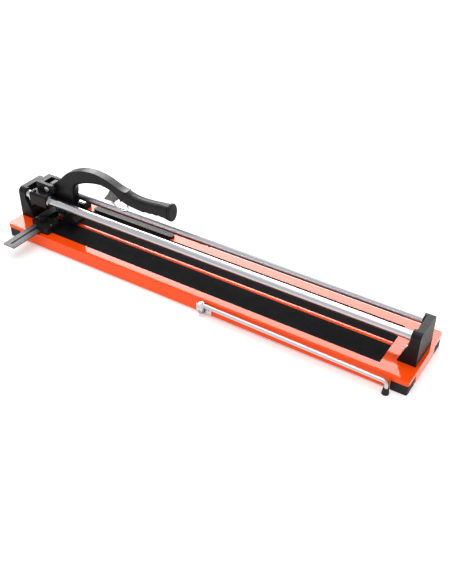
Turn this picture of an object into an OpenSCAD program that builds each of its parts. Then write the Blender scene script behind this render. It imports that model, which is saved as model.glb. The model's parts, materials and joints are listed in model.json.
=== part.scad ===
// Manual rail tile cutter: a pressed tray with two padded beds and a breaking bar, two cast
// stands that carry twin rails, and a sliding carriage with a lifting handle, a cutting wheel
// and a breaking foot. Lengths are in millimetres.
//
// The part is laid out from the tray's left end (X), its front edge (Y) and the floor (Z).
// row_origin() then moves everything so that the origin is on the floor, at the middle of the
// whole object's footprint.

/* [Tray] */
// Length of the tray, end to end
base_l = 1200; // [1100:10:1400]
// Width of the tray, front to back
base_w = 205; // [200:1:215]
// Height of the tray's top face above the floor
base_h = 40; // [38:0.5:44]
// Thickness of the folded sheet
sheet_t = 2; // [1.5:0.1:2.5]
// Radius of the tray's upright corners
corner_r = 6; // [4:1:10]
// Height of the skirt's lower edge above the floor
skirt_gap = 4; // [3:0.5:6]

/* [Beds] */
// Tray margin left of and right of the beds
bed_end = 82; // [75:1:90]
// Tray margin in front of and behind the beds
bed_side = 28.5; // [26:0.5:32]
// Width of the breaking bar between the pads
bar_w = 14; // [10:1:18]
// Thickness of the pads
pad_t = 5.5; // [4:0.5:6]

/* [Feet] */
// Length of a corner foot along the tray
foot_l = 43; // [35:1:48]
// Length of a corner foot across the tray
foot_w = 46; // [40:1:48]
// Height of a corner foot's exposed part
foot_h = 28; // [25:1:29]

/* [Stands] */
// Width of a stand across the tray
stand_w = 95; // [92:1:98]
// Height of a stand above the tray
stand_h = 88; // [86:1:90]
// Gap between the left stand's outer face and the tray's end
left_in = 3; // [2:1:10]
// Gap between the right stand's outer face and the tray's end
right_in = 8; // [2:1:10]
// Thickness of a stand at its top
stand_top = 17; // [16:1:19]
// Thickness of a stand at its foot
stand_foot = 44; // [42:1:46]

/* [Rails] */
// Diameter of a rail
rail_d = 22; // [18:1:22]
// Distance between the rails' axes
rail_gap = 68; // [64:1:69]
// Height of the rails' axes above the tray
rail_h = 71; // [70:1:72]

/* [Handle] */
// Width of the cast arm
arm_w = 26; // [24:1:27]
// Width of the moulded grip
grip_w = 30; // [28:1:32]
// Diameter of the handle's pivot pin
pivot_d = 12; // [10:1:12]

/* [Cutting] */
// Diameter of the cutting wheel
wheel_d = 22; // [20:1:22]
// Thickness of the cutting wheel's hub
wheel_t = 4; // [3:0.5:5]

/* [Hidden] */
$fn = 64;
eps = 0.5;

// Beds
mid_y = base_w / 2;
bed_w = base_w - 2 * bed_side;
pad_w = (bed_w - bar_w) / 2;
bed_floor = base_h - pad_t;
bar_rise = 1.5;
pad_rise = 0.5;
brace_w = 30;
brace_h = 18;
brace_x = [210, 470, 730, 990];

// Corner feet
foot_inset = 1.3;
foot_screw_d = 5;

// Rails and stands
rail_z = base_h + rail_h;
rail_front = mid_y - rail_gap / 2;
rail_rear = mid_y + rail_gap / 2;
rail_wall = 3;
socket_floor = 10;
rail_left = left_in + socket_floor;
rail_right = base_l - right_in - socket_floor;
// The stand's flared inner face: height above the tray, and thickness there
flare = [
    [0, stand_foot], [3, stand_foot], [24, stand_foot - 7], [37, 31.5], [49, 26], [57, 23.4],
    [64, 20], [70, stand_top], [stand_h, stand_top]
];
stand_round = 15;
boss_d = 35;
boss_out = 6;
bolt_in = 20;
bolt_side = 20;
rail_screw_z = base_h + 36;
rail_screw_in = 28;
// Running clearance of a pin or shaft in its hole, on the radius
fit_gap = 0.05;

// Carriage
house_x0 = 50;
house_x1 = 108.5;
house_out = 19;
house_in = 16;
house_z0 = rail_z - 20;
house_z1 = rail_z + 20;
bearing_r = 14;
ring_r = 17;
ring_t = 5;
bearing_screw_x = 60;
cheek_t = 10;
cheek_x0 = 56;
cheek_x1 = 121;
cheek_top = 154;
cheek_gap = 31;
bridge_x1 = 75;

// Handle pivot, in the carriage's fork
pivot_x = 95;
pivot_z = 141;
heel_r = 12.5;
washer_t = 2;

// Arched arm, and the grip that it carries
arch_top = [
    [104, 151], [119, 163], [138, 180], [168, 206], [210, 223.5], [250, 230], [276, 228.5],
    [300, 224], [320, 217], [340, 209.5], [356, 206], [366, 207]
];
arch_under = [
    [345, 172], [336, 179.5], [314, 193], [281, 199.5], [248, 195.5], [222.5, 188.5],
    [204.5, 181], [190, 173], [181, 162]
];
column_foot = 92;
column = [
    [179, 150], [175, 118], [171, 98], [165, column_foot], [100, column_foot], [96, 98], [96, 122]
];
tang_x0 = 345;
tang_x1 = 455;
tang_z0 = 176;
tang_z1 = 190;
tang_w = 14;
// Grip sections: distance along X, height of the centre, full height, forward lean in degrees
grip_rows = [
    [355.5, 189.5, 40.8, 31], [373, 184.5, 37, 17], [391.5, 182, 34.5, 8], [412, 180.8, 34.5, 0],
    [432, 182.4, 33, 0], [452, 184.1, 33.3, -3], [472, 186.2, 34.4, 0], [487, 186.3, 37, 0],
    [497.5, 186, 41, 0]
];
grip_round = 9;
cap_x = 498;
cap_z = 187;
cap_t = 8.7;
cap_tall = 49;
cap_wide = 36;
cap_screw_z = 190.5;

// Transport lock: a cast lug under the arch and a wire bail on a pin
lug_outline = [
    [281, 158], [316, 160], [330, 172], [333, 181.5], [325, 187.1], [314, 192.9], [303, 190],
    [296, 177], [288, 168]
];
lug_t = 9;
lock_pin_x = 322;
lock_pin_z = 166;
lock_pin_d = 4;
lock_wire = 4.4;
lock_eye = 9;
lock_side = 16;
lock_leg = 22;
lock_tilt = 125;

// Wheel and its holder
wheel_x = 110;
wheel_z = base_h + 3 + wheel_d / 2;
axle_d = 6;
holder_l = 24;
holder_w = 20;
shank_d = 14;
holder_screw_z = column_foot + 14;

// Breaking foot
toe_x = 158;
toe_z = 84;
toe_pin_d = 8;
toe_x0 = 128;
toe_x1 = 181;
toe_w = 38;
toe_top = 64;
toe_bottom = 51;
presser_t = 4;
toe_ear_r = 9;
toe_y0 = mid_y - toe_w / 2;
toe_y1 = mid_y + toe_w / 2;
toe_cheek_in = arm_w / 2 + 0.4;

// Fence and ruler at the left end
fence_leg_z = base_h + pad_rise;
fence_x0 = 66;
fence_x1 = 95;
fence_y0 = 28;
fence_y1 = 174;
fence_top = 58;
fence_bar_top = 60;
block_x1 = 139;
block_y0 = 12;
block_y1 = 62;
block_step_x = 97;
heel_y0 = 165;
heel_y1 = 197;
heel_top = 62;
// Fence screws: X, Y and height of the face round the head
fence_screw_at = [[132, 36, fence_top], [71, 45, fence_top], [120, 175, heel_top], [131, 175, heel_top]];
ruler_x0 = 76;
ruler_w = 40;
ruler_x1 = ruler_x0 + ruler_w;
ruler_t = 3;
ruler_out = -92;
ruler_in = 84;
ruler_z = 46;
ruler_play = 0.3;
slot_w = 8;
// The ruler's middle is a groove from its tip to here, and a slot through it beyond
slot_y0 = 30;
groove_floor = 1.2;
knob_x = 96;
knob_y = 42;

// Rear ledge
ledge_x0 = 160;
ledge_x1 = 438;
ledge_y0 = 179;
ledge_y1 = 198;
ledge_t = 7;
lip_out = 2.3;
lip_t = 3;

// Folding support arms
arm_pin_x = 664;
arm_len = 492;
arm_splay = 0.8;
arm_wire_d = 9.5;
arm_out = 9;
arm_z = 34.3;
bend_r = 10;
arm_cap_d = 17.5;
arm_cap_top_d = 13.5;
arm_cap_h = 16;
arm_pin_d = 6;
eye_d = 15;
eye_h = 10;
ear_t = 3;
ear_z = [9, 26];
ear_top = ear_z[1] + ear_t;
bracket_z0 = 6;
floor_gap = 0.5;

// The footprint's middle, front to back, from the ruler's tip to the rear arm's cap
far_front = ruler_out;
far_rear = base_w + arm_out + arm_len * sin(arm_splay) + arm_cap_d / 2;
mid_foot_y = (far_front + far_rear) / 2;

// ---------------------------------------------------------------- helpers

module row_origin() {
    translate([-base_l / 2, -mid_foot_y, 0]) children();
}

module mirrored_end() {
    translate([base_l, 0, 0]) mirror([1, 0, 0]) children();
}

module turned_half() {
    translate([base_l, base_w, 0]) rotate([0, 0, 180]) children();
}

module round_rect(x0, y0, x1, y1, r) {
    w = x1 - x0;
    d = y1 - y0;
    translate([x0 + r, y0]) square([w - 2 * r, d]);
    translate([x0, y0 + r]) square([w, d - 2 * r]);
    for (cx = [x0 + r, x1 - r], cy = [y0 + r, y1 - r]) translate([cx, cy]) circle(r);
}

// A block with rounded upright corners
module round_block(x0, y0, z0, x1, y1, z1, r) {
    translate([0, 0, z0]) linear_extrude(z1 - z0) round_rect(x0, y0, x1, y1, r);
}

module box(x0, y0, z0, x1, y1, z1) {
    translate([x0, y0, z0]) cube([x1 - x0, y1 - y0, z1 - z0]);
}

// A cylinder along Y from y0 to y1
module rod_y(x, z, y0, y1, d) {
    translate([x, y0, z]) rotate([-90, 0, 0]) cylinder(h = y1 - y0, d = d);
}

// A cylinder along X from x0 to x1
module rod_x(y, z, x0, x1, d) {
    translate([x0, y, z]) rotate([0, 90, 0]) cylinder(h = x1 - x0, d = d);
}

module rod_z(x, y, z0, z1, d) {
    translate([x, y, z0]) cylinder(h = z1 - z0, d = d);
}

// An outline in X and Z, drawn out along Y from y0 to y1
module plate_y(y0, y1) {
    translate([0, y1, 0]) rotate([90, 0, 0]) linear_extrude(y1 - y0) children();
}

// An outline in Y and Z, drawn out along X from x0 to x1
module plate_x(x0, x1) {
    translate([x0, 0, 0]) rotate([90, 0, 90]) linear_extrude(x1 - x0) children();
}

// A socket screw with its head at the origin's upper side and its shank below it
module socket_screw(shank_d, shank_l, head_d, head_h) {
    difference() {
        cylinder(h = head_h, d = head_d);
        translate([0, 0, head_h / 2]) cylinder(h = head_h, d = head_d * 0.5, $fn = 6);
    }
    translate([0, 0, -shank_l]) cylinder(h = shank_l + 0.01, d = shank_d);
}

// Points of a smooth curve through a list of points
function curve_point(a, b, c, d, t) =
    0.5 * (2 * b + (c - a) * t + (2 * a - 5 * b + 4 * c - d) * t * t
        + (3 * b - a - 3 * c + d) * t * t * t);
function smooth(pts, steps = 5) = let (n = len(pts) - 1) [
    for (i = [0:n - 1], s = [0:steps - 1])
        curve_point(pts[max(i - 1, 0)], pts[i], pts[i + 1], pts[min(i + 2, n)], s / steps),
    pts[n]
];

// ---------------------------------------------------------------- tray

module skirt_notches() {
    for (x = [-eps, base_l - foot_l], y = [-eps, base_w - foot_w])
        translate([x, y, 0]) cube([foot_l + eps, foot_w + eps, foot_h]);
}

module base_tray() row_origin() color("orangered") difference() {
    union() {
        difference() {
            round_block(0, 0, skirt_gap, base_l, base_w, base_h, corner_r);
            round_block(sheet_t, sheet_t, 0, base_l - sheet_t, base_w - sheet_t,
                base_h - sheet_t, corner_r - sheet_t);
        }
        box(bed_end - sheet_t, bed_side - sheet_t, bed_floor - sheet_t,
            base_l - bed_end + sheet_t, base_w - bed_side + sheet_t, base_h - sheet_t);
    }
    box(bed_end, bed_side, bed_floor, base_l - bed_end, base_w - bed_side, base_h + eps);
    skirt_notches();
    for (x = [left_in + bolt_in, base_l - right_in - bolt_in], s = [-1, 1])
        rod_z(x, mid_y + s * (stand_w / 2 - bolt_side), 0, base_h + eps, 8.2);
}

module tray_braces() row_origin() color("orangered") {
    for (x = brace_x) difference() {
        box(x - brace_w / 2, sheet_t, bed_floor - sheet_t - brace_h,
            x + brace_w / 2, base_w - sheet_t, bed_floor - sheet_t);
        box(x - brace_w / 2 + sheet_t, 0, bed_floor - 2 * sheet_t - brace_h + sheet_t + 2,
            x + brace_w / 2 - sheet_t, base_w, bed_floor - 2 * sheet_t);
    }
}

module pad(y0) {
    box(bed_end, y0, bed_floor, base_l - bed_end, y0 + pad_w, base_h + pad_rise);
}

module front_pad() row_origin() color("dimgray") pad(bed_side);

module rear_pad() row_origin() color("dimgray") pad(mid_y + bar_w / 2);

module breaking_bar() row_origin() color("orangered") plate_x(bed_end, base_l - bed_end)
    polygon([
        [mid_y - bar_w / 2, bed_floor], [mid_y + bar_w / 2, bed_floor],
        [mid_y + bar_w / 2, base_h], [mid_y + bar_w / 6, base_h + bar_rise],
        [mid_y - bar_w / 6, base_h + bar_rise], [mid_y - bar_w / 2, base_h]
    ]);

// ---------------------------------------------------------------- feet

// The front left foot: an outer block below the skirt and a plug inside it
module corner_foot() {
    difference() {
        union() {
            round_block(foot_inset, foot_inset, 0, foot_l, foot_w, foot_h, corner_r - foot_inset);
            round_block(sheet_t, sheet_t, foot_h - eps, foot_l - sheet_t, foot_w - sheet_t,
                base_h - sheet_t, corner_r - sheet_t);
        }
        rod_z(foot_l / 2 + 2, foot_w / 2 - 8, -eps, 4, 11);
        rod_z(foot_l / 2 + 2, foot_w / 2 - 8, 0, base_h, foot_screw_d + 0.2);
    }
}

module foot_screw_place() {
    translate([foot_l / 2 + 2, foot_w / 2 - 8, 4]) rotate([180, 0, 0]) children();
}

module foot_front_left() row_origin() color("black") corner_foot();

module foot_front_right() row_origin() color("black") mirrored_end() corner_foot();

module foot_rear_left() row_origin() color("black") mirrored_end() turned_half() corner_foot();

module foot_rear_right() row_origin() color("black") turned_half() corner_foot();

module one_foot_screw() {
    foot_screw_place() socket_screw(foot_screw_d, base_h - sheet_t - 4.5, 9.5, 3);
}

module foot_screws() row_origin() color("silver") {
    one_foot_screw();
    mirrored_end() one_foot_screw();
    turned_half() one_foot_screw();
    mirrored_end() turned_half() one_foot_screw();
}

// ---------------------------------------------------------------- stands and rails

module stand_side(gap) {
    polygon(concat(
        [for (p = flare) [gap + p[1], base_h + p[0]]],
        [[gap, base_h + stand_h], [gap, base_h]]
    ));
}

module stand_front() {
    y0 = mid_y - stand_w / 2;
    y1 = mid_y + stand_w / 2;
    translate([y0, base_h]) square([stand_w, stand_h - stand_round]);
    translate([y0 + stand_round, base_h]) square([stand_w - 2 * stand_round, stand_h]);
    for (y = [y0 + stand_round, y1 - stand_round])
        translate([y, base_h + stand_h - stand_round]) circle(stand_round);
}

// The left stand: a flared casting with a boss and a blind socket for each rail
module stand(gap) difference() {
    intersection() {
        union() {
            plate_y(mid_y - stand_w / 2, mid_y + stand_w / 2) stand_side(gap);
            for (y = [rail_front, rail_rear])
                rod_x(y, base_h + stand_h - boss_d / 2, gap + 2, gap + stand_top + boss_out, boss_d);
        }
        plate_x(gap, gap + stand_foot) stand_front();
    }
    for (y = [rail_front, rail_rear]) {
        rod_x(y, rail_z, gap + socket_floor, gap + stand_foot + eps, rail_d + 2 * fit_gap);
        rod_x(y, rail_screw_z, gap + 7, gap + stand_foot, 5.1);
        rod_x(y, rail_screw_z, gap + rail_screw_in, gap + stand_foot, 10);
    }
    for (s = [-1, 1])
        rod_z(gap + bolt_in, mid_y + s * (stand_w / 2 - bolt_side), base_h - eps, base_h + 32, 8.1);
}

module left_stand() row_origin() color("dimgray") stand(left_in);

module right_stand() row_origin() color("dimgray") mirrored_end() stand(right_in);

module stand_bolt_pair(gap) {
    for (s = [-1, 1])
        translate([gap + bolt_in, mid_y + s * (stand_w / 2 - bolt_side), base_h - sheet_t])
            rotate([180, 0, 0]) {
                cylinder(h = 5.3, d = 13, $fn = 6);
                translate([0, 0, -sheet_t - 30]) cylinder(h = sheet_t + 30.01, d = 8);
            }
}

module stand_bolts() row_origin() color("silver") {
    stand_bolt_pair(left_in);
    mirrored_end() stand_bolt_pair(right_in);
}

module rail(y) difference() {
    rod_x(y, rail_z, rail_left, rail_right, rail_d);
    rod_x(y, rail_z, rail_left - eps, rail_right + eps, rail_d - 2 * rail_wall);
}

module front_rail() row_origin() color("silver") rail(rail_front);

module rear_rail() row_origin() color("silver") rail(rail_rear);

// Screws that run in from the stand's flared inner face, below each rail
module rail_screw_pair(gap) {
    for (y = [rail_front, rail_rear])
        translate([gap + rail_screw_in, y, rail_screw_z]) rotate([0, 90, 0])
            socket_screw(5, 20, 9, 5);
}

module rail_screws() row_origin() color("silver") {
    rail_screw_pair(left_in);
    mirrored_end() rail_screw_pair(right_in);
}

// ---------------------------------------------------------------- rear ledge

ledge_screw_x = [ledge_x0 + 24, (ledge_x0 + ledge_x1) / 2, ledge_x1 - 24];
ledge_mid = (ledge_y0 + ledge_y1) / 2;

module rear_ledge() row_origin() color("gray") difference() {
    union() {
        round_block(ledge_x0, ledge_y0, base_h, ledge_x1, ledge_y1, base_h + ledge_t, 7);
        box(ledge_x0 + 4, ledge_y0 - lip_out, base_h, ledge_x1 - 4, ledge_y0 + 8, base_h + lip_t);
    }
    for (x = ledge_screw_x) {
        rod_z(x, ledge_mid, base_h + ledge_t - 2.5, base_h + ledge_t + eps, 8.4);
        rod_z(x, ledge_mid, base_h - eps, base_h + ledge_t, 4.1);
    }
}

module ledge_screws() row_origin() color("silver") {
    for (x = ledge_screw_x)
        translate([x, ledge_mid, base_h + ledge_t - 2.5]) socket_screw(4, ledge_t - 2.7, 8, 2.3);
}

// ---------------------------------------------------------------- fence and ruler

// A cross bar over the left end of the beds, with a block for the ruler at the front and a
// heel on the rear margin
module fence_body() row_origin() color("black") difference() {
    union() {
        round_block(fence_x0, fence_y0, fence_leg_z, block_x1, block_y1, fence_top, 4);
        round_block(block_step_x, block_y0, fence_leg_z, block_x1, block_y1, fence_top, 4);
        round_block(block_step_x, block_y0, base_h, block_x1, bed_side - 0.5, fence_top, 4);
        round_block(fence_x0, block_y1 - 6, fence_leg_z, fence_x1, fence_y1, fence_bar_top, 3);
        round_block(fence_x0, heel_y0, fence_leg_z, block_x1, heel_y1, heel_top, 3);
        round_block(fence_x0, base_w - bed_side + 0.5, base_h, block_x1, heel_y1, heel_top, 3);
    }
    box(ruler_x0 - ruler_play, block_y0 - eps, ruler_z - ruler_play,
        ruler_x1 + ruler_play, heel_y0 - 20, ruler_z + ruler_t + ruler_play);
    box(fence_x0 - eps, mid_y - bar_w / 2 - 1, fence_leg_z - eps,
        fence_x1 + eps, mid_y + bar_w / 2 + 1, base_h + bar_rise + 0.5);
    rod_z(knob_x, knob_y, ruler_z, fence_top + eps, 6.1);
    rod_z(knob_x, knob_y, fence_leg_z - eps, ruler_z, 13);
    for (p = fence_screw_at) {
        rod_z(p[0], p[1], p[2] - 2, p[2] + eps, 8.8);
        rod_z(p[0], p[1], base_h - eps, p[2], 4.1);
    }
}

module fence_screws() row_origin() color("silver") {
    for (p = fence_screw_at)
        translate([p[0], p[1], p[2] - 2]) socket_screw(4, p[2] - 2.3 - fence_leg_z, 8.4, 3.5);
}

module ruler() row_origin() color("silver") difference() {
    round_block(ruler_x0, ruler_out, ruler_z, ruler_x1, ruler_in, ruler_z + ruler_t, 2);
    round_block(knob_x - slot_w / 2, ruler_out + 10, ruler_z + groove_floor, knob_x + slot_w / 2,
        ruler_in - 8, ruler_z + ruler_t + eps, slot_w / 2 - 0.1);
    round_block(knob_x - slot_w / 2, slot_y0, ruler_z - eps, knob_x + slot_w / 2,
        ruler_in - 8, ruler_z + ruler_t, slot_w / 2 - 0.1);
}

// A lobed clamp knob on a stud that passes through the ruler's slot
module ruler_knob() row_origin() color("black") {
    difference() {
        rod_z(knob_x, knob_y, fence_top + 0.4, fence_top + 13, 24);
        for (a = [0:60:300])
            translate([knob_x, knob_y, 0]) rotate([0, 0, a]) rod_z(14, 0, fence_top, fence_top + 14, 8);
    }
    rod_z(knob_x, knob_y, ruler_z - 3.4, fence_top + 0.5, 6);
}

module ruler_nut() row_origin() color("silver") difference() {
    rod_z(knob_x, knob_y, fence_leg_z + 1, ruler_z - 0.5, 10.5, $fn = 6);
    rod_z(knob_x, knob_y, 0, ruler_z, 6.1);
}

// ---------------------------------------------------------------- carriage

module housing(y, side) {
    y0 = side < 0 ? y - house_out : y - house_in;
    y1 = side < 0 ? y + house_in : y + house_out;
    plate_x(house_x0, house_x1) round_rect(y0, house_z0, y1, house_z1, 8);
}

cheek_front = mid_y - cheek_gap / 2;
cheek_rear = mid_y + cheek_gap / 2;

module cheek(y0) plate_y(y0, y0 + cheek_t) {
    polygon([
        [cheek_x0, house_z1 - 6], [house_x1 - 1, house_z1 - 6], [house_x1 - 1, house_z1 - 1.5],
        [cheek_x1, house_z1 + 5], [cheek_x1, cheek_top - 8], [cheek_x1 - 10, cheek_top],
        [cheek_x0, cheek_top]
    ]);
}

module carriage_body() row_origin() color("dimgray") difference() {
    union() {
        housing(rail_front, -1);
        housing(rail_rear, 1);
        cheek(cheek_front - cheek_t);
        cheek(cheek_rear);
        box(house_x0 + 4, rail_front, rail_z - 14, bridge_x1, rail_rear, house_z1 - 2);
        box(cheek_x0, cheek_front - 1, house_z1 - 6, bridge_x1, cheek_rear + 1, cheek_top);
    }
    for (y = [rail_front, rail_rear])
        rod_x(y, rail_z, house_x0 - eps, house_x1 + eps, 2 * bearing_r);
    rod_y(pivot_x, pivot_z, 0, base_w, pivot_d);
    for (y = [rail_front - 6, rail_rear + 6])
        rod_z(bearing_screw_x, y, rail_z + bearing_r - 1, house_z1 + eps, 5.1);
}

module bearing_screws() row_origin() color("silver") {
    for (y = [rail_front - 6, rail_rear + 6])
        translate([bearing_screw_x, y, house_z1]) socket_screw(5, 5, 8.5, 4.5);
}

module bearing(y) difference() {
    rod_x(y, rail_z, house_x0, house_x1, 2 * bearing_r);
    rod_x(y, rail_z, house_x0 - eps, house_x1 + eps, rail_d + 2 * fit_gap);
}

module front_bearing() row_origin() color("gold") bearing(rail_front);

module rear_bearing() row_origin() color("gold") bearing(rail_rear);

module ring_pair(y) {
    for (x = [house_x0 - ring_t, house_x1]) difference() {
        rod_x(y, rail_z, x, x + ring_t, 2 * ring_r);
        rod_x(y, rail_z, x - eps, x + ring_t + eps, rail_d + 0.8);
    }
}

module front_seal_rings() row_origin() color("silver") ring_pair(rail_front);

module rear_seal_rings() row_origin() color("silver") ring_pair(rail_rear);

pin_front = cheek_front - cheek_t;
pin_rear = cheek_rear + cheek_t + 9;

// The handle's pivot pin, held in both cheeks, with its head at the front
module pivot_pin() row_origin() color("silver") {
    rod_y(pivot_x, pivot_z, pin_front - 1, pin_rear, pivot_d);
    rod_y(pivot_x, pivot_z, pin_front - 4, pin_front, 16);
}

module pivot_nut() row_origin() color("silver") difference() {
    rod_y(pivot_x, pivot_z, cheek_rear + cheek_t, cheek_rear + cheek_t + 7, 20, $fn = 6);
    rod_y(pivot_x, pivot_z, 0, base_w, pivot_d);
}

module pivot_washers() row_origin() color("silver") {
    for (y = [cheek_front, cheek_rear - washer_t]) difference() {
        rod_y(pivot_x, pivot_z, y, y + washer_t, 20);
        rod_y(pivot_x, pivot_z, 0, base_w, pivot_d);
    }
}

// ---------------------------------------------------------------- handle

arm_y0 = mid_y - arm_w / 2;
arm_y1 = mid_y + arm_w / 2;

module arm_outline() {
    polygon(concat(smooth(arch_top), smooth(arch_under), column));
    translate([pivot_x, pivot_z]) circle(heel_r);
    polygon([
        [pivot_x, pivot_z + heel_r], [106, 152.6], [110, 130], [96, 121], [pivot_x, pivot_z - heel_r]
    ]);
    translate([toe_x, toe_z]) circle(toe_ear_r);
    translate([toe_x - toe_ear_r, toe_z]) square([2 * toe_ear_r - 3, column_foot + 4 - toe_z]);
}

module tang() box(tang_x0, mid_y - tang_w / 2, tang_z0, tang_x1, mid_y + tang_w / 2, tang_z1);

module handle_arm() row_origin() color("dimgray") difference() {
    union() {
        plate_y(arm_y0, arm_y1) arm_outline();
        tang();
    }
    rod_y(pivot_x, pivot_z, 0, base_w, pivot_d + 2 * fit_gap);
    rod_y(toe_x, toe_z, 0, base_w, toe_pin_d);
    rod_z(wheel_x, mid_y, column_foot - eps, column_foot + 30, shank_d);
    rod_y(wheel_x, holder_screw_z, arm_y0 - eps, arm_y0 + 3, 10.2);
    rod_y(wheel_x, holder_screw_z, arm_y0 - eps, mid_y, 6.1);
}

// One slice of the grip: a rounded rectangle that leans forward
module grip_slice(row) {
    translate([row[0], mid_y, row[1]]) rotate([0, row[3], 0]) rotate([90, 0, 90])
        linear_extrude(0.4) round_rect(-grip_w / 2, -row[2] / 2, grip_w / 2, row[2] / 2, grip_round,
            $fn = 32);
}

// The moulded grip, drawn over the arm's tang
module handle_grip() row_origin() color("black") difference() {
    for (i = [0:len(grip_rows) - 2]) hull() {
        grip_slice(grip_rows[i]);
        grip_slice(grip_rows[i + 1]);
    }
    tang();
    rod_x(mid_y, cap_screw_z, cap_x - 14, cap_x + 1, 5.1);
}

module grip_end_cap() row_origin() color("black") difference() {
    translate([cap_x, mid_y, cap_z]) rotate([0, 90, 0]) linear_extrude(cap_t)
        scale([1, cap_wide / cap_tall]) circle(d = cap_tall, $fn = 48);
    rod_x(mid_y, cap_screw_z, cap_x + cap_t - 3, cap_x + cap_t + 2, 9);
    rod_x(mid_y, cap_screw_z, cap_x - eps, cap_x + cap_t + 2, 5.1);
}

module grip_screw() row_origin() color("silver") {
    translate([cap_x + cap_t - 3, mid_y, cap_screw_z]) rotate([0, 90, 0])
        socket_screw(5, 15, 8.4, 2.4);
}

module lock_lug() row_origin() color("silver") difference() {
    plate_y(mid_y - lug_t / 2, mid_y + lug_t / 2) polygon(lug_outline);
    rod_y(lock_pin_x, lock_pin_z, 0, base_w, lock_pin_d);
}

module lock_pin() row_origin() color("silver") {
    rod_y(lock_pin_x, lock_pin_z, mid_y - lock_side - 3.5, mid_y + lock_side + 3.5, lock_pin_d);
}

// The wire bail: an eye on each end of the pin, two legs and a bow
module lock_ring() row_origin() color("silver") difference() {
    translate([lock_pin_x, mid_y, lock_pin_z]) rotate([0, lock_tilt, 0]) {
        for (s = [-1, 1]) {
            rod_y(0, 0, s * lock_side - lock_wire / 2, s * lock_side + lock_wire / 2, lock_eye);
            rod_z(0, s * lock_side, 2, lock_leg, lock_wire);
        }
        translate([0, 0, lock_leg]) rotate([90, 0, 90]) rotate_extrude(angle = 180)
            translate([lock_side, 0]) circle(d = lock_wire);
    }
    rod_y(lock_pin_x, lock_pin_z, 0, base_w, lock_pin_d + 2 * fit_gap);
}

// ---------------------------------------------------------------- wheel

module wheel_holder() row_origin() color("silver") difference() {
    union() {
        rod_z(wheel_x, mid_y, column_foot - 1, column_foot + 28, shank_d - 0.1);
        plate_y(mid_y - holder_w / 2, mid_y + holder_w / 2) polygon([
            [wheel_x - holder_l / 2, wheel_z + 8], [wheel_x - 7, wheel_z - 5],
            [wheel_x + 7, wheel_z - 5], [wheel_x + holder_l / 2, wheel_z + 8],
            [wheel_x + holder_l / 2, column_foot - 0.4], [wheel_x - holder_l / 2, column_foot - 0.4]
        ]);
    }
    box(wheel_x - 30, mid_y - wheel_t / 2 - 0.4, 0, wheel_x + 30, mid_y + wheel_t / 2 + 0.4,
        wheel_z + wheel_d / 2 + 3);
    rod_y(wheel_x, wheel_z, 0, base_w, axle_d);
}

module holder_screw() row_origin() color("silver") {
    translate([wheel_x, arm_y0 + 3, holder_screw_z]) rotate([90, 0, 0]) socket_screw(6, 2.8, 9.6, 2.8);
}

module wheel_axle() row_origin() color("silver") {
    rod_y(wheel_x, wheel_z, mid_y - holder_w / 2 - 2, mid_y + holder_w / 2 + 2, axle_d);
}

module cutting_wheel() row_origin() color("gold") translate([wheel_x, mid_y, wheel_z])
    rotate([90, 0, 0]) rotate_extrude() polygon([
        [axle_d / 2 + fit_gap, -wheel_t / 2], [wheel_d / 2 - 4, -wheel_t / 2],
        [wheel_d / 2 - 2.5, -0.9], [wheel_d / 2, 0], [wheel_d / 2 - 2.5, 0.9],
        [wheel_d / 2 - 4, wheel_t / 2], [axle_d / 2 + fit_gap, wheel_t / 2]
    ]);

// ---------------------------------------------------------------- breaking foot

module breaking_foot() row_origin() color("black") difference() {
    union() {
        plate_y(toe_y0, toe_y1) polygon([
            [toe_x0, toe_bottom], [toe_x1, toe_bottom], [toe_x1, toe_bottom + 7],
            [toe_x + 10, toe_top + 6], [toe_x - 10, toe_top + 6], [toe_x0, toe_bottom + 7]
        ]);
        for (y = [toe_y0, mid_y + toe_cheek_in]) plate_y(y, y + toe_w / 2 - toe_cheek_in) {
            translate([toe_x, toe_z]) circle(9);
            translate([toe_x - 9, toe_top]) square([18, toe_z - toe_top]);
        }
    }
    rod_y(toe_x, toe_z, 0, base_w, toe_pin_d + 2 * fit_gap);
}

// A plain pin fixed in the arm's ear, on which the foot rocks
module foot_pivot_pin() row_origin() color("silver") {
    rod_y(toe_x, toe_z, toe_y0 - 1.2, toe_y1 + 1.2, toe_pin_d);
}

module presser_pads() row_origin() color("black") {
    for (y = [toe_y0 + 1, mid_y + 3])
        box(toe_x0 + 2, y, toe_bottom - presser_t, toe_x1 - 2, y + toe_w / 2 - 4, toe_bottom);
}

// ---------------------------------------------------------------- support arms

// A folded steel bracket on the skirt, with two ears for the arm's pin
module arm_bracket() difference() {
    union() {
        box(arm_pin_x - 20, -2, bracket_z0, arm_pin_x + 24, 0, ear_top);
        for (z = ear_z) {
            box(arm_pin_x - 8, -arm_out, z, arm_pin_x + 8, -1, z + ear_t);
            rod_z(arm_pin_x, -arm_out, z, z + ear_t, 16);
        }
    }
    rod_z(arm_pin_x, -arm_out, 0, base_h, arm_pin_d);
    for (x = [arm_pin_x - 14, arm_pin_x + 17])
        translate([x, eps, 18]) rotate([90, 0, 0]) cylinder(h = 4, d = 4.2);
}

module arm_pin() {
    eye_top = ear_top + 0.3 + eye_h;
    rod_z(arm_pin_x, -arm_out, ear_z[0] - 1, eye_top + 0.6, arm_pin_d);
    rod_z(arm_pin_x, -arm_out, eye_top + 0.3, eye_top + 2.3, 9);
}

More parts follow.
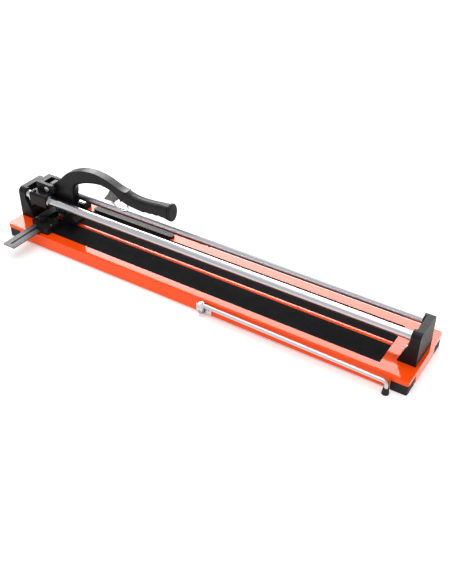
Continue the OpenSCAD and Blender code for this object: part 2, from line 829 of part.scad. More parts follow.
// The wire arm: an eye round the pin, a straight run, and a bend down into the cap
module support_arm() translate([arm_pin_x, -arm_out, 0]) rotate([0, 0, -arm_splay]) {
    difference() {
        union() {
            rod_z(0, 0, arm_z - eye_h / 2, arm_z + eye_h / 2, eye_d);
            rod_x(0, arm_z, 2, arm_len - bend_r, arm_wire_d);
        }
        rod_z(0, 0, 0, base_h + 4, arm_pin_d + 2 * fit_gap);
    }
    translate([arm_len - bend_r, 0, arm_z - bend_r]) rotate([90, 0, 0])
        rotate_extrude(angle = 90) translate([bend_r, 0]) circle(d = arm_wire_d);
    rod_z(arm_len, 0, floor_gap + 6, arm_z - bend_r, arm_wire_d);
}

module arm_cap() translate([arm_pin_x, -arm_out, 0]) rotate([0, 0, -arm_splay]) difference() {
    translate([arm_len, 0, floor_gap]) cylinder(h = arm_cap_h, d1 = arm_cap_d, d2 = arm_cap_top_d);
    rod_z(arm_len, 0, floor_gap + 6, base_h, arm_wire_d);
}

module front_arm_bracket() row_origin() color("silver") arm_bracket();

module front_arm_pin() row_origin() color("silver") arm_pin();

module front_arm() row_origin() color("silver") support_arm();

module front_arm_cap() row_origin() color("black") arm_cap();

module rear_arm_bracket() row_origin() color("silver") turned_half() arm_bracket();

module rear_arm_pin() row_origin() color("silver") turned_half() arm_pin();

module rear_arm() row_origin() color("silver") turned_half() support_arm();

module rear_arm_cap() row_origin() color("black") turned_half() arm_cap();

// ---------------------------------------------------------------- nodes

base_tray();
tray_braces();
front_pad();
rear_pad();
breaking_bar();
foot_front_left();
foot_front_right();
foot_rear_left();
foot_rear_right();
foot_screws();
left_stand();
right_stand();
stand_bolts();
front_rail();
rear_rail();
rail_screws();
rear_ledge();
ledge_screws();
fence_body();
fence_screws();
ruler();
ruler_knob();
ruler_nut();
carriage_body();
front_bearing();
rear_bearing();
front_seal_rings();
rear_seal_rings();
bearing_screws();
pivot_pin();
pivot_nut();
pivot_washers();
handle_arm();
handle_grip();
grip_end_cap();
grip_screw();
lock_lug();
lock_pin();
lock_ring();
wheel_holder();
holder_screw();
wheel_axle();
cutting_wheel();
breaking_foot();
foot_pivot_pin();
presser_pads();
front_arm_bracket();
front_arm_pin();
front_arm();
front_arm_cap();
rear_arm_bracket();
rear_arm_pin();
rear_arm();
rear_arm_cap();
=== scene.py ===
"""Looks of the rail tile cutter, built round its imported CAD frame. Lengths are in metres."""

import json
import math

import bmesh
import bpy
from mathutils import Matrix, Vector, geometry


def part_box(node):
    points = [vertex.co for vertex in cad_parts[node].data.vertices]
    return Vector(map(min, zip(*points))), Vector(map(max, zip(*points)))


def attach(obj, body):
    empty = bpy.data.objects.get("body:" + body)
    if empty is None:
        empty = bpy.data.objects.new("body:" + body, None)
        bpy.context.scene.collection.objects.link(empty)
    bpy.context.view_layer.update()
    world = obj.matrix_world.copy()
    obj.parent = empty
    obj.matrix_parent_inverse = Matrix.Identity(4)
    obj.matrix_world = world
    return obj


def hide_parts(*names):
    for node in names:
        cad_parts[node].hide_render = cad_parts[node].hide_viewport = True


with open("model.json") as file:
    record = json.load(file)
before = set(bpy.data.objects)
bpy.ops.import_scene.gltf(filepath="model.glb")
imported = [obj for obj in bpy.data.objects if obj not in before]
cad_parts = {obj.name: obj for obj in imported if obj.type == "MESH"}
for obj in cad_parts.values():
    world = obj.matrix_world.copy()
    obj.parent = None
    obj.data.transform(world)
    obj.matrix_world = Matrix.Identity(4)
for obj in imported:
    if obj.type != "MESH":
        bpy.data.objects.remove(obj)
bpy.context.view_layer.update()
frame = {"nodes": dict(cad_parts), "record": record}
MM = 0.001
NODES = frame["nodes"]
BODIES = frame["record"]["behaviour"]["bodies"]
BODY_OF = {node: body for body, names in BODIES.items() for node in names}
TRAY_LOW, TRAY_HIGH = (Vector(corner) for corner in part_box("base_tray"))
# The cutting line, in millimetres from the tray's front edge
MID_Y = (TRAY_HIGH.y - TRAY_LOW.y) / 2 / MM


def at(x, y, z):
    """A point in millimetres from the tray's left end, its front edge and the floor."""
    return Vector((TRAY_LOW.x + x * MM, TRAY_LOW.y + y * MM, z * MM))


# ------------------------------------------------------------------ camera

# Angles in degrees, the lens and sensor in millimetres
CAMERA_AZIMUTH = 32.75
CAMERA_ELEVATION = 37.2
CAMERA_DISTANCE = 1.9
CAMERA_AIM = at(706, 37.5, 61)
CAMERA_LENS = 47.9
CAMERA_SENSOR = 36
CAMERA_REACH = 50


def make_camera():
    """The camera looks at a point near the object's middle, from the front right and above."""
    azimuth = math.radians(CAMERA_AZIMUTH)
    elevation = math.radians(CAMERA_ELEVATION)
    back = Vector((
        math.sin(azimuth) * math.cos(elevation),
        -math.cos(azimuth) * math.cos(elevation),
        math.sin(elevation),
    ))
    data = bpy.data.cameras.new("camera")
    data.lens = CAMERA_LENS
    data.sensor_width = CAMERA_SENSOR
    data.clip_end = CAMERA_REACH
    camera = bpy.data.objects.new("camera", data)
    camera.location = CAMERA_AIM + back * CAMERA_DISTANCE
    camera.rotation_euler = back.to_track_quat("Z", "Y").to_euler()
    bpy.context.scene.collection.objects.link(camera)
    bpy.context.scene.camera = camera


make_camera()


# ------------------------------------------------------------------ materials

# The part of a noise's values over which the roughness, and the colour, runs from end to end
ROUGHNESS_RUN = (0.3, 0.7)
COLOR_RUN = (0.35, 0.65)


class Look:
    """A node material under construction: short calls that add and join nodes."""

    def __init__(self, name):
        self.material = bpy.data.materials.new(name)
        self.material.use_nodes = True
        self.tree = self.material.node_tree
        self.shader = self.tree.nodes["Principled BSDF"]
        self.coords = self.tree.nodes.new("ShaderNodeTexCoord")

    def set(self, **values):
        """Constant values on the shader's own sockets."""
        for key, value in values.items():
            self.shader.inputs[key.replace("_", " ")].default_value = value
        return self

    def node(self, kind, **values):
        """A new node, with values for its own sockets."""
        made = self.tree.nodes.new(kind)
        for key, value in values.items():
            made.inputs[key].default_value = value
        return made

    def link(self, source, target):
        self.tree.links.new(source, target)

    def stretched(self, scale):
        """Object coordinates, scaled differently along each axis."""
        mapping = self.node("ShaderNodeMapping")
        mapping.inputs["Scale"].default_value = scale
        self.link(self.coords.outputs["Object"], mapping.inputs["Vector"])
        return mapping.outputs["Vector"]

    def noise(self, scale, detail=4, rough=0.55, stretch=None):
        made = self.node("ShaderNodeTexNoise", Scale=scale, Detail=detail, Roughness=rough)
        where = self.stretched(stretch) if stretch else self.coords.outputs["Object"]
        self.link(where, made.inputs["Vector"])
        return made.outputs["Fac"]

    def cells(self, scale):
        """Small pits side by side, as the distance from the middle of each."""
        made = self.node("ShaderNodeTexVoronoi", Scale=scale)
        self.link(self.coords.outputs["Object"], made.inputs["Vector"])
        return made.outputs["Distance"]

    def spread(self, source, low, high):
        """A value between low and high, by source."""
        made = self.node("ShaderNodeMapRange")
        keys = ("From Min", "From Max", "To Min", "To Max")
        for key, value in zip(keys, (*ROUGHNESS_RUN, low, high)):
            made.inputs[key].default_value = value
        self.link(source, made.inputs["Value"])
        return made.outputs["Result"]

    def blend(self, source, first, second):
        """A colour between first and second, by source."""
        made = self.node("ShaderNodeValToRGB")
        for stop, position, color in zip(made.color_ramp.elements, COLOR_RUN, (first, second)):
            stop.position = position
            stop.color = (*color, 1)
        self.link(source, made.inputs["Fac"])
        return made.outputs["Color"]

    def color(self, source):
        self.link(source, self.shader.inputs["Base Color"])

    def rough(self, source):
        self.link(source, self.shader.inputs["Roughness"])

    def bump(self, source, height, strength=1.0):
        """Adds relief by source, on top of any that is there."""
        made = self.node("ShaderNodeBump", Strength=strength, Distance=height)
        last = self.shader.inputs["Normal"].links
        if last:
            self.link(last[0].from_socket, made.inputs["Normal"])
        self.link(source, made.inputs["Height"])
        self.link(made.outputs["Normal"], self.shader.inputs["Normal"])


def orange_paint():
    """Glossy powder coat: a hard clear skin with a faint orange peel."""
    look = Look("orange_paint")
    look.set(Coat_Weight=1.0, Coat_Roughness=0.06, Coat_IOR=1.36, Specular_IOR_Level=0.05)
    look.color(look.blend(look.noise(9), (0.96, 0.098, 0.006), (0.92, 0.090, 0.005)))
    look.rough(look.spread(look.noise(30), 0.28, 0.36))
    look.bump(look.noise(420, detail=2), 0.000015)
    return look.material


def pad_foam():
    """Closed-cell foam rubber: matte, with fine pores and a faint mottling."""
    look = Look("pad_foam").set(Specular_IOR_Level=0.1)
    look.color(look.blend(look.noise(35), (0.0095, 0.0095, 0.0110), (0.0145, 0.0145, 0.0165)))
    look.rough(look.spread(look.noise(300), 0.72, 0.9))
    look.bump(look.cells(1400), 0.00012, 0.7)
    look.bump(look.noise(180), 0.0001)
    return look.material


def black_rubber():
    """Moulded rubber: a fine grain and an uneven, dull gloss."""
    look = Look("black_rubber").set(Specular_IOR_Level=0.4)
    look.color(look.blend(look.noise(60), (0.010, 0.010, 0.011), (0.017, 0.017, 0.018)))
    look.rough(look.spread(look.noise(220), 0.5, 0.68))
    look.bump(look.noise(900, detail=3), 0.00006)
    return look.material


def cast_paint(name, dark, light, low, high):
    """Satin paint over a sand-cast surface: a soft grain and uneven gloss."""
    look = Look(name).set(Specular_IOR_Level=0.28)
    look.color(look.blend(look.noise(40), dark, light))
    look.rough(look.spread(look.noise(150), low, high))
    look.bump(look.noise(520, detail=6, rough=0.6), 0.00012, 0.7)
    return look.material


def rail_chrome():
    """Polished chrome with the faint lines of grinding along X, the rails' length."""
    look = Look("rail_chrome").set(Metallic=1.0)
    color = (0.58, 0.585, 0.61)
    shade = tuple(0.96 * c for c in color)
    look.color(look.blend(look.noise(14, stretch=(0.4, 8, 8)), shade, color))
    look.rough(look.spread(look.noise(60, stretch=(0.3, 12, 12)), 0.26, 0.34))
    look.bump(look.noise(90, stretch=(0.2, 16, 16)), 0.00001, 0.5)
    return look.material


def zinc_plate(name, color, low, high):
    """Bare or plated metal, slightly cloudy."""
    look = Look(name).set(Metallic=1.0)
    shade = tuple(0.82 * c for c in color)
    look.color(look.blend(look.noise(120), shade, color))
    look.rough(look.spread(look.noise(260), low, high))
    look.bump(look.noise(700, detail=4), 0.00003)
    return look.material


def brushed_steel():
    """Steel brushed along Y, the ruler's length."""
    look = Look("ruler_steel").set(Metallic=0.8)
    grain = look.noise(260, stretch=(12, 0.25, 12))
    look.color(look.blend(grain, (0.105, 0.105, 0.11), (0.165, 0.165, 0.17)))
    look.rough(look.spread(grain, 0.42, 0.58))
    look.bump(grain, 0.00003, 0.6)
    return look.material


def moulded_plastic(name, dark, light, low, high):
    """Moulded plastic with a fine spark-eroded grain."""
    look = Look(name).set(Specular_IOR_Level=0.3)
    look.color(look.blend(look.noise(50), dark, light))
    look.rough(look.spread(look.noise(240), low, high))
    look.bump(look.cells(1100), 0.00006, 0.6)
    return look.material


def black_oxide_and_painted_shade():
    """Steel with a thin black oxide skin, slightly uneven. On the sheet in the ruler's groove it
    serves as painted shade.
    """
    look = Look("black_steel").set(Metallic=0.85)
    look.color(look.blend(look.noise(160), (0.035, 0.035, 0.037), (0.06, 0.06, 0.064)))
    look.rough(look.spread(look.noise(300), 0.3, 0.45))
    look.bump(look.noise(800), 0.00002)
    return look.material


MATERIALS = {
    "orange_paint": orange_paint(),
    "pad_foam": pad_foam(),
    "black_rubber": black_rubber(),
    "black_casting": cast_paint(
        "black_casting", (0.009, 0.009, 0.010), (0.015, 0.015, 0.016), 0.34, 0.48),
    "arm_paint": cast_paint(
        "arm_paint", (0.008, 0.008, 0.009), (0.013, 0.013, 0.014), 0.27, 0.36),
    "rail_chrome": rail_chrome(),
    "zinc_steel": zinc_plate("zinc_steel", (0.74, 0.75, 0.77), 0.2, 0.32),
    "zinc_casting": zinc_plate("zinc_casting", (0.20, 0.20, 0.21), 0.4, 0.52),
    "bearing_brass": zinc_plate("bearing_brass", (0.70, 0.52, 0.22), 0.25, 0.4),
    "wheel_carbide": zinc_plate("wheel_carbide", (0.75, 0.62, 0.33), 0.14, 0.26),
    "ruler_steel": brushed_steel(),
    "black_plastic": moulded_plastic(
        "black_plastic", (0.010, 0.010, 0.011), (0.017, 0.017, 0.018), 0.42, 0.54),
    "grip_rubber": moulded_plastic(
        "grip_rubber", (0.012, 0.012, 0.013), (0.020, 0.020, 0.022), 0.42, 0.55),
    "black_steel": black_oxide_and_painted_shade(),
}
SLOT_OF = {entry["node"]: entry["material_slot"] for entry in frame["record"]["subparts"]}


# ------------------------------------------------------------------ mesh helpers

# Edges sharper than this many degrees are rounded, or left sharp in smooth shading
ROUNDED_FROM = 32
SHARP_FROM = 35
BEVEL_SEGMENTS = 3
# Points closer than this, in metres, are one, and faces level within this angle are one
SAME_POINT = 2e-6
SAME_FACE = math.radians(0.6)


def add_piece(name, mesh, node, material=None):
    """A new object for a mesh that stands for a CAD node, in its material, riding on its body."""
    piece = bpy.data.objects.new(name, mesh)
    bpy.context.scene.collection.objects.link(piece)
    slot = material or SLOT_OF[node]
    mesh.materials.clear()
    mesh.materials.append(MATERIALS[slot])
    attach(piece, BODY_OF[node])
    return piece


def soften(piece, width):
    """Rounds a piece's sharp edges with a bevel."""
    bevel = piece.modifiers.new("edges", "BEVEL")
    bevel.width = width
    bevel.segments = BEVEL_SEGMENTS
    bevel.limit_method = "ANGLE"
    bevel.angle_limit = math.radians(ROUNDED_FROM)
    bevel.harden_normals = True
    bevel.use_clamp_overlap = True


def smooth_shaded(mesh, angle=SHARP_FROM):
    """Shades a mesh smoothly, apart from its edges sharper than angle."""
    mesh.shade_smooth()
    mesh.set_sharp_from_angle(angle=math.radians(angle))


def even_shading(piece):
    """Keeps the shading of large flat faces level up to their rounded edges."""
    shading = piece.modifiers.new("shading", "WEIGHTED_NORMAL")
    shading.keep_sharp = True


def joined(node):
    """A CAD node's mesh with its doubled points joined, to work on."""
    bm = bmesh.new()
    bm.from_mesh(NODES[node].data)
    bmesh.ops.remove_doubles(bm, verts=bm.verts, dist=SAME_POINT)
    bm.verts.index_update()
    return bm


def clean_copy(node):
    """A copy of a CAD node's mesh with whole faces in place of its triangles."""
    bm = joined(node)
    bmesh.ops.dissolve_limit(bm, angle_limit=SAME_FACE, verts=bm.verts, edges=bm.edges)
    mesh = bpy.data.meshes.new(node)
    bm.to_mesh(mesh)
    bm.free()
    smooth_shaded(mesh)
    return mesh


def refine(node, width):
    """Stands a cleaned copy with rounded edges in for a CAD node."""
    piece = add_piece(node + "_shell", clean_copy(node), node)
    soften(piece, width)
    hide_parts(node)


def turned_outwards(name, points, faces, angle=SHARP_FROM):
    """A smoothly shaded mesh whose faces all look outwards."""
    mesh = bpy.data.meshes.new(name)
    mesh.from_pydata(points, [], faces)
    bm = bmesh.new()
    bm.from_mesh(mesh)
    bmesh.ops.recalc_face_normals(bm, faces=bm.faces)
    bm.to_mesh(mesh)
    bm.free()
    smooth_shaded(mesh, angle)
    return mesh


def bands(rings, count, start=0):
    """The faces between neighbouring rings of count points, which begin at point start."""
    return [
        (start + r * count + i, start + r * count + (i + 1) % count,
         start + (r + 1) * count + (i + 1) % count, start + (r + 1) * count + i)
        for r in range(rings - 1) for i in range(count)
    ]


def skin(name, rings):
    """A closed mesh over rings that each have the same number of points."""
    count = len(rings[0])
    last = (len(rings) - 1) * count
    caps = [tuple(reversed(range(count))), tuple(range(last, last + count))]
    points = [point for ring in rings for point in ring]
    return turned_outwards(name, points, bands(len(rings), count) + caps)


def around(count):
    """Angles evenly round a full turn."""
    return [2 * math.pi * step / count for step in range(count)]


def curve_through(rows, steps):
    """Rows of numbers on a smooth curve through the given rows."""
    made = []
    last = len(rows) - 1
    for i in range(last):
        near = (rows[max(i - 1, 0)], rows[i], rows[i + 1], rows[min(i + 2, last)])
        for step in range(steps):
            t = step / steps
            made.append([
                0.5 * (2 * b + (c - a) * t + (2 * a - 5 * b + 4 * c - d) * t * t
                       + (3 * b - a - 3 * c + d) * t ** 3)
                for a, b, c, d in zip(*near)
            ])
    return made + [list(rows[last])]


# ------------------------------------------------------------------ handle

# Lengths here are in millimetres, unless they are multiplied by MM
# Along the grip: X, height of the centre, full height, forward lean in degrees, width
GRIP_ROWS = [
    (355.5, 189.5, 40.8, 31, 27), (373, 184.5, 37, 17, 29.5), (391.5, 182, 34.5, 8, 30),
    (412, 180.8, 34.5, 0, 30), (432, 182.4, 33, 0, 30), (452, 184.1, 33.3, -3, 30),
    (472, 186.2, 34.4, 0, 31), (487, 186.3, 37, 0, 33), (497.5, 186, 41, 0, 35),
]
GRIP_STEPS = 14
GRIP_AROUND = 132
GRIP_SQUARENESS = 3.1
# At the seam with the arm, the grip is this much smaller, and stands this far off
SEAM_INSET = 1.4
SEAM_GAP = 0.1
# Grooves along the grip's top: their places across it, half width and depth. A run is the X
# where they start, the length over which they deepen, their end, and the length they fade in
GRIP_GROOVES = (-7.6, -2.6, 2.6, 7.6)
GRIP_GROOVE_WIDTH = 0.75
GRIP_GROOVE_DEPTH = 0.9
GRIP_GROOVE_RUN = (366, 8, 478, 12)
# The top starts this part of the grip's height above its centre
GRIP_TOP_FROM = 0.3
# Finger rolls below it
FINGER_FIRST = 415
FINGER_PITCH = 20.5
FINGER_DEPTH = 2.3
FINGER_RUN = (394, 10, 484, 8)


def between_0_and_1(value):
    return min(max(value, 0), 1)


def fading(x, start, rise, end, fall):
    """1 from start to end, but rising to it over the length rise and leaving it over fall."""
    return between_0_and_1((x - start) / rise) * between_0_and_1((end - x) / fall)


def round_section(width, height, power, turn):
    """A point on a rounded rectangle, squarer with power, as its offset sideways and upwards."""
    c, s = math.cos(turn), math.sin(turn)
    return (
        width / 2 * math.copysign(abs(c) ** (2 / power), c),
        height / 2 * math.copysign(abs(s) ** (2 / power), s),
    )


def grip_relief(x, side, up, height):
    """How far the grip's skin moves up here: grooves along its top, finger rolls below."""
    if up > GRIP_TOP_FROM * height:
        depth = sum(
            math.exp(-((side - place) / GRIP_GROOVE_WIDTH) ** 2) for place in GRIP_GROOVES)
        return -GRIP_GROOVE_DEPTH * fading(x, *GRIP_GROOVE_RUN) * depth
    roll = 0.5 + 0.5 * math.cos(2 * math.pi * (x - FINGER_FIRST) / FINGER_PITCH)
    return -FINGER_DEPTH * fading(x, *FINGER_RUN) * roll * between_0_and_1(-2 * up / height) ** 3


def make_grip():
    """The moulded grip, lofted along its rows."""
    rings = []
    for index, (x, z, height, lean, width) in enumerate(curve_through(GRIP_ROWS, GRIP_STEPS)):
        lean = math.radians(lean)
        inset = SEAM_INSET if index == 0 else 0
        ring = []
        for turn in around(GRIP_AROUND):
            side, up = round_section(width - inset, height - inset, GRIP_SQUARENESS, turn)
            up += grip_relief(x, side, up, height)
            forward, rise = up * math.sin(lean), up * math.cos(lean)
            ring.append(at(x + forward + SEAM_GAP, MID_Y + side, z + rise))
        rings.append(ring)
    piece = add_piece("grip_skin", skin("grip_skin", rings), "handle_grip")
    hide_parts("handle_grip")


# The end cap: X of its inner face, width and height of its oval
CAP_X = 498
CAP_SIZE = (36, 49)
CAP_SQUARENESS = 2.15
CAP_AROUND = 80
# Its rings: distance from the inner face, part of the full oval, and height of the centre
CAP_RINGS = (
    (0, 0.86, 187), (0.2, 0.93, 187), (1, 0.985, 187), (2.2, 1, 187), (5.8, 1, 187),
    (7.2, 0.985, 187), (8.2, 0.95, 187), (8.65, 0.89, 187), (8.4, 0.82, 187),
    (8.5, 0.6, 188.2), (8.7, 0.4, 189.3),
)
# The rings of the screw's well: distance from the inner face, and radius
WELL_RINGS = ((8.7, 5.4), (8.4, 4.7), (5.9, 4.4))
WELL_Z = 190.5


def make_grip_cap():
    """The oval end cap, with a rolled rim and a round well for its screw."""
    oval = [round_section(*CAP_SIZE, CAP_SQUARENESS, turn) for turn in around(CAP_AROUND)]
    rings = [
        [at(CAP_X + x, MID_Y + size * side, z + size * up) for side, up in oval]
        for x, size, z in CAP_RINGS
    ]
    rings += [
        [at(CAP_X + x, MID_Y + radius * math.cos(turn), WELL_Z + radius * math.sin(turn))
         for turn in around(CAP_AROUND)]
        for x, radius in WELL_RINGS
    ]
    piece = add_piece("grip_cap_skin", skin("grip_cap_skin", rings), "grip_end_cap")
    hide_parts("grip_end_cap")


# A point this close to a plane, in metres, lies in it
IN_PLANE = 1e-5
# How often a line's corners, or the values along it, are evened out
EASING_ROUNDS = 6


def face_loops(node, y):
    """The closed outlines of a node's flat face at this Y, largest first, as points in X and Z."""
    bm = joined(node)
    flat = [face for face in bm.faces if all(abs(vert.co.y - y) < IN_PLANE for vert in face.verts)]
    in_flat = set(flat)
    after = {}
    for face in flat:
        for loop in face.loops:
            if sum(other in in_flat for other in loop.edge.link_faces) == 1:
                after[loop.vert.index] = loop.link_loop_next.vert.index
    spots = [Vector((vert.co.x, vert.co.z)) for vert in bm.verts]
    bm.free()
    loops = []
    while after:
        start, index = after.popitem()
        loop = [spots[start]]
        while index != start:
            loop.append(spots[index])
            index = after.pop(index)
        loops.append(loop)
    return sorted(loops, key=lambda loop: -abs(area_of(loop)))


def area_of(loop):
    """The area in a closed line, negative if the line runs clockwise."""
    return sum(a.x * b.y - b.x * a.y for a, b in zip(loop, loop[1:] + loop[:1])) / 2


def evenly(loop, pitch):
    """The same closed line, with points every pitch or so."""
    made = []
    for a, b in zip(loop, loop[1:] + loop[:1]):
        parts = max(1, round((b - a).length / pitch))
        made += [a.lerp(b, part / parts) for part in range(parts)]
    return made


def with_neighbours(loop):
    """Each point of a closed line, between the one before it and the one after it."""
    return zip(loop[-1:] + loop[:-1], loop, loop[1:] + loop[:1])


def eased(loop, keep):
    """A closed line with its corners eased, apart from the points that keep picks."""
    for _ in range(EASING_ROUNDS):
        loop = [
            here if keep(here) else here * 0.5 + (before + after) * 0.25
            for before, here, after in with_neighbours(loop)
        ]
    return loop


def inward(loop):
    """Unit vectors that point into a closed line, one for each point."""
    turn = 1 if area_of(loop) > 0 else -1
    made = []
    for before, _, after in with_neighbours(loop):
        run = (after - before).normalized()
        made.append(Vector((-run.y, run.x)) * turn)
    return made


def averaged(values):
    """Values along a closed line, each averaged with its neighbours."""
    for _ in range(EASING_ROUNDS):
        values = [(a + 2 * b + c) / 4 for a, b, c in with_neighbours(values)]
    return values


# The arm's rounded edges: steps across each, and the radius round a hole
EDGE_STEPS = 6
HOLE_RADIUS = 0.5 * MM
# Edges of the arm sharper than this many degrees stay sharp in its shading
ARM_SHARP_FROM = 50
# In the fill of a flat side, points this close, in metres, are one, and a face whose middle
# lies within this part of a hole's radius is left out
FILL_SAME_POINT = 1e-7
IN_HOLE = 0.98


def edge_rings(loop, ways, radii, y0, y1):
    """Rings of points round a plate's edge, from the rim of its face at y0 to that at y1."""
    sides = []
    for y, out in ((y0, 1), (y1, -1)):
        side = []
        for step in range(EDGE_STEPS + 1):
            turn = math.pi / 2 * step / EDGE_STEPS
            inset, drop = 1 - math.cos(turn), 1 - math.sin(turn)
            side.append([
                (p.x + w.x * r * inset, y + out * r * drop, p.y + w.y * r * inset)
                for p, w, r in zip(loop, ways, radii)
            ])
        sides.append(side)
    return sides[0][::-1] + sides[1]


def fill_side(verts, rims, holes):
    """The faces of a plate's flat side inside its rims, adding the points that they need."""
    order = [index for rim in rims for index in rim]
    flat = [Vector((verts[index][0], verts[index][2])) for index in order]
    edges, base = [], 0
    for rim in rims:
        edges += [(base + i, base + (i + 1) % len(rim)) for i in range(len(rim))]
        base += len(rim)
    spots, _, cells, sources, _, _ = geometry.delaunay_2d_cdt(flat, edges, [], 1, FILL_SAME_POINT)
    level = verts[order[0]][1]
    place = []
    for spot, source in zip(spots, sources):
        place.append(order[source[0]] if source else len(verts))
        if not source:
            verts.append((spot.x, level, spot.y))
    centres = [sum(hole, Vector((0, 0))) / len(hole) for hole in holes]
    reaches = [(hole[0] - centre).length * IN_HOLE for hole, centre in zip(holes, centres)]
    faces = []
    for cell in cells:
        middle = sum((spots[i] for i in cell), Vector((0, 0))) / 3
        if all((middle - centre).length > reach for centre, reach in zip(centres, reaches)):
            faces.append(tuple(place[i] for i in cell))
    return faces


def rounded_plate(name, outline, holes, y0, y1, radii):
    """A flat plate with the given outline in X and Z, and edges rounded by a radius per point."""
    walls = [(outline, inward(outline), radii)]
    for hole in holes:
        walls.append((hole, [-way for way in inward(hole)], [HOLE_RADIUS] * len(hole)))
    verts, faces, rims = [], [], ([], [])
    for loop, ways, sizes in walls:
        rings = edge_rings(loop, ways, sizes, y0, y1)
        start = len(verts)
        count = len(loop)
        verts += [point for ring in rings for point in ring]
        faces += bands(len(rings), count, start)
        rims[0].append(range(start, start + count))
        rims[1].append(range(len(verts) - count, len(verts)))
    for side in rims:
        faces += fill_side(verts, side, holes)
    return turned_outwards(name, verts, faces, ARM_SHARP_FROM)


# The arm's seam with the grip, from top to bottom, and how near a point counts as on it
SEAM_TOP = at(366, 0, 207).xz
SEAM_END = at(345, 0, 172).xz
ON_SEAM = 1.5 * MM
OUTLINE_PITCH = 2.4 * MM
# Radii of the arm's edges: at the seam, below the arch, on the column's right, and elsewhere
SEAM_RADIUS = 1.2 * MM
ARCH_RADIUS = 8 * MM
COLUMN_RADIUS = 4.5 * MM
EDGE_RADIUS = 2.2 * MM
ARCH_FROM, ARCH_TO = at(181, 0, 0).x, at(350, 0, 0).x
# A face looks down, or right, if its inward vector rises, or points left, by more than this
LOOKS_DOWN = 0.25
LOOKS_RIGHT = 0.9


def on_seam(point):
    """Whether a point of the arm's outline lies on its seam with the grip."""
    seam_way = (SEAM_END - SEAM_TOP).normalized()
    along = (point - SEAM_TOP).dot(seam_way)
    return (point - SEAM_TOP - seam_way * along).length < ON_SEAM


def arm_radius(point, way):
    """The radius of the arm's edges at a point of its outline, where way points inwards."""
    if on_seam(point):
        return SEAM_RADIUS
    if way.y > LOOKS_DOWN and ARCH_FROM < point.x < ARCH_TO:
        return ARCH_RADIUS
    if way.x < -LOOKS_RIGHT:
        return COLUMN_RADIUS
    return EDGE_RADIUS


def make_arm():
    """The cast arm: a broad soft rounding below its arch, and narrower ones elsewhere."""
    low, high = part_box("handle_arm")
    outline, *holes = face_loops("handle_arm", low[1])
    outline = eased(evenly(outline, OUTLINE_PITCH), on_seam)
    radii = averaged([arm_radius(point, way) for point, way in zip(outline, inward(outline))])
    mesh = rounded_plate("arm_casting", outline, holes, low[1], high[1], radii)
    piece = add_piece("arm_casting", mesh, "handle_arm")
    even_shading(piece)
    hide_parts("handle_arm")


make_grip()
make_grip_cap()
make_arm()


# ------------------------------------------------------------------ the other pieces

# How wide each piece's edges are rounded, in millimetres
EDGE_ROUNDING = {
    "base_tray": 2.2, "tray_braces": 1.0, "front_pad": 0.9, "rear_pad": 0.9, "breaking_bar": 1.2,
    "foot_front_left": 2.0, "foot_front_right": 2.0, "foot_rear_left": 2.0, "foot_rear_right": 2.0,
    "foot_screws": 0.4, "left_stand": 2.5, "right_stand": 2.5, "stand_bolts": 0.5,
    "front_rail": 0.3, "rear_rail": 0.3, "rail_screws": 0.4, "rear_ledge": 1.2, "ledge_screws": 0.3,
    "fence_body": 1.5, "fence_screws": 0.4, "ruler": 0.4, "ruler_knob": 1.0, "ruler_nut": 0.4,
    "carriage_body": 1.6, "front_bearing": 0.3, "rear_bearing": 0.3, "front_seal_rings": 0.5,
    "rear_seal_rings": 0.5, "bearing_screws": 0.4, "pivot_pin": 0.8, "pivot_nut": 0.6,
    "pivot_washers": 0.3, "grip_screw": 0.3, "lock_lug": 0.8, "lock_pin": 0.4, "lock_ring": 0.3,
    "wheel_holder": 0.8, "holder_screw": 0.4, "wheel_axle": 0.5, "cutting_wheel": 0.1,
    "breaking_foot": 1.2, "foot_pivot_pin": 0.5, "presser_pads": 0.6,
    "front_arm_bracket": 0.5, "front_arm_pin": 0.5, "front_arm": 0.2, "front_arm_cap": 1.6,
    "rear_arm_bracket": 0.5, "rear_arm_pin": 0.5, "rear_arm": 0.2, "rear_arm_cap": 1.6,
}
for node, width in EDGE_ROUNDING.items():
    refine(node, width * MM)


# ------------------------------------------------------------------ ruler marks

# In millimetres: lengths by the last digit of a mark's number, and the margin at the right edge
MARK_WIDTH = 0.35
MARK_HEIGHT = 0.05
MARK_LENGTHS = {0: 13, 5: 9.5}
SHORT_MARK = 6.5
MARK_MARGIN = 1.5
FIRST_MARK = 3
UNMARKED_END = 10
# The painted shade sheet in the groove: the groove's ends are given from the ruler's tip, its floor
# from the ruler's top
GROOVE_WIDTH = 7.4
GROOVE_FLOOR = 1.8
GROOVE_FROM, GROOVE_TO = 10.5, 121
GROOVE_STEPS = 12
STRIP_HALF = 0.05


def make_ruler_marks():
    """A line for every millimetre along the ruler's right side, longer at each 5 and 10 mm."""
    low, high = (Vector(corner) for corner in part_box("ruler"))
    right = high.x - MARK_MARGIN * MM
    bm = bmesh.new()
    for mark in range(FIRST_MARK, int((high.y - low.y) / MM) - UNMARKED_END):
        length = MARK_LENGTHS.get(mark % 10, SHORT_MARK) * MM
        middle = Vector((right - length / 2, low.y + mark * MM, high.z))
        made = bmesh.ops.create_cube(bm, size=1)["verts"]
        bmesh.ops.scale(bm, verts=made, vec=(length, MARK_WIDTH * MM, 2 * MARK_HEIGHT * MM))
        bmesh.ops.translate(bm, verts=made, vec=middle)
    mesh = bpy.data.meshes.new("ruler_marks")
    bm.to_mesh(mesh)
    bm.free()
    add_piece("ruler_marks", mesh, "ruler", "black_steel")


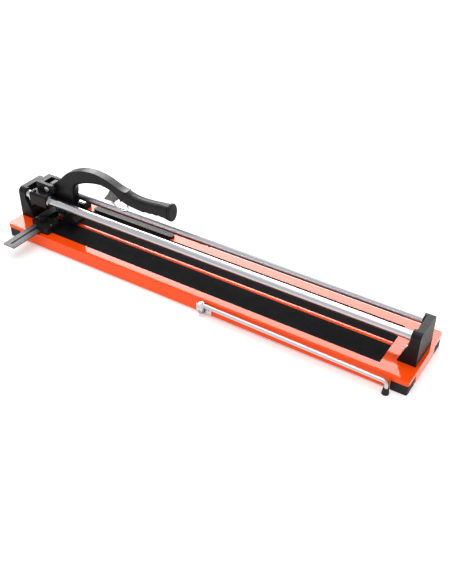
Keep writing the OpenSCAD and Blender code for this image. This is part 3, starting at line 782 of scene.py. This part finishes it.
def make_groove_painted_shade():
    """A black sheet on the floor of the ruler's groove, round at the tip's end: painted shade that
    darkens the groove.
    """
    low, high = (Vector(corner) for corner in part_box("ruler"))
    middle = (low.x + high.x) / 2
    reach = GROOVE_WIDTH / 2 * MM
    front, back = low.y + GROOVE_FROM * MM, low.y + GROOVE_TO * MM
    level = high.z - GROOVE_FLOOR * MM
    half_turn = (math.pi + math.pi * step / GROOVE_STEPS for step in range(GROOVE_STEPS + 1))
    outline = [
        (middle + reach * math.cos(turn), front + reach + reach * math.sin(turn))
        for turn in half_turn
    ] + [(middle + reach, back), (middle - reach, back)]
    heights = (level - STRIP_HALF * MM, level + STRIP_HALF * MM)
    rings = [[(x, y, z) for x, y in outline] for z in heights]
    # The sheet is painted shade, in the same black steel as the marks.
    add_piece("ruler_groove_painted_shade", skin("ruler_groove_painted_shade", rings), "ruler", "black_steel")


make_ruler_marks()
make_groove_painted_shade()


# ------------------------------------------------------------------ floor and light

FLOOR_SIZE = 12
FLOOR_GLOW = 0.2
WORLD_STRENGTH = 0.70


def make_floor():
    """A plain white floor with a faint glow, which keeps the shadows on it pale."""
    half = FLOOR_SIZE / 2
    corners = [(-half, -half, 0), (half, -half, 0), (half, half, 0), (-half, half, 0)]
    mesh = bpy.data.meshes.new("floor")
    mesh.from_pydata(corners, [], [(0, 1, 2, 3)])
    floor = bpy.data.objects.new("floor", mesh)
    bpy.context.scene.collection.objects.link(floor)
    look = Look("floor").set(Roughness=0.5, Specular_IOR_Level=0.1)
    look.set(Emission_Color=(1, 1, 1, 1), Emission_Strength=FLOOR_GLOW)
    look.color(look.blend(look.noise(3), (0.93, 0.93, 0.93), (0.95, 0.95, 0.95)))
    mesh.materials.append(look.material)


def area_light(name, location, aim, size, power):
    """A soft rectangular light that faces a point. Its power is in watts."""
    data = bpy.data.lights.new(name, "AREA")
    data.shape = "RECTANGLE"
    data.size, data.size_y = size
    data.energy = power
    light = bpy.data.objects.new(name, data)
    light.location = location
    light.rotation_euler = (Vector(location) - Vector(aim)).to_track_quat("Z", "Y").to_euler()
    bpy.context.scene.collection.objects.link(light)
    return light


def make_light():
    """An even white studio, a soft light above, and a card behind that only reflections show."""
    scene = bpy.context.scene
    scene.world = bpy.data.worlds.new("studio")
    scene.world.use_nodes = True
    background = scene.world.node_tree.nodes["Background"]
    background.inputs["Color"].default_value = (1, 1, 1, 1)
    background.inputs["Strength"].default_value = WORLD_STRENGTH
    card = area_light(
        "back_card", location=(-1.6, 2.6, 2.0), aim=(0, 0, 0), size=(3.2, 2.2), power=150)
    card.visible_diffuse = False
    area_light("top_box", location=(0.3, -0.4, 4.2), aim=(0.1, 0, 0), size=(3.4, 3.4), power=55)
    scene.view_settings.view_transform = "Standard"
    scene.view_settings.look = "Medium High Contrast"


make_floor()
make_light()
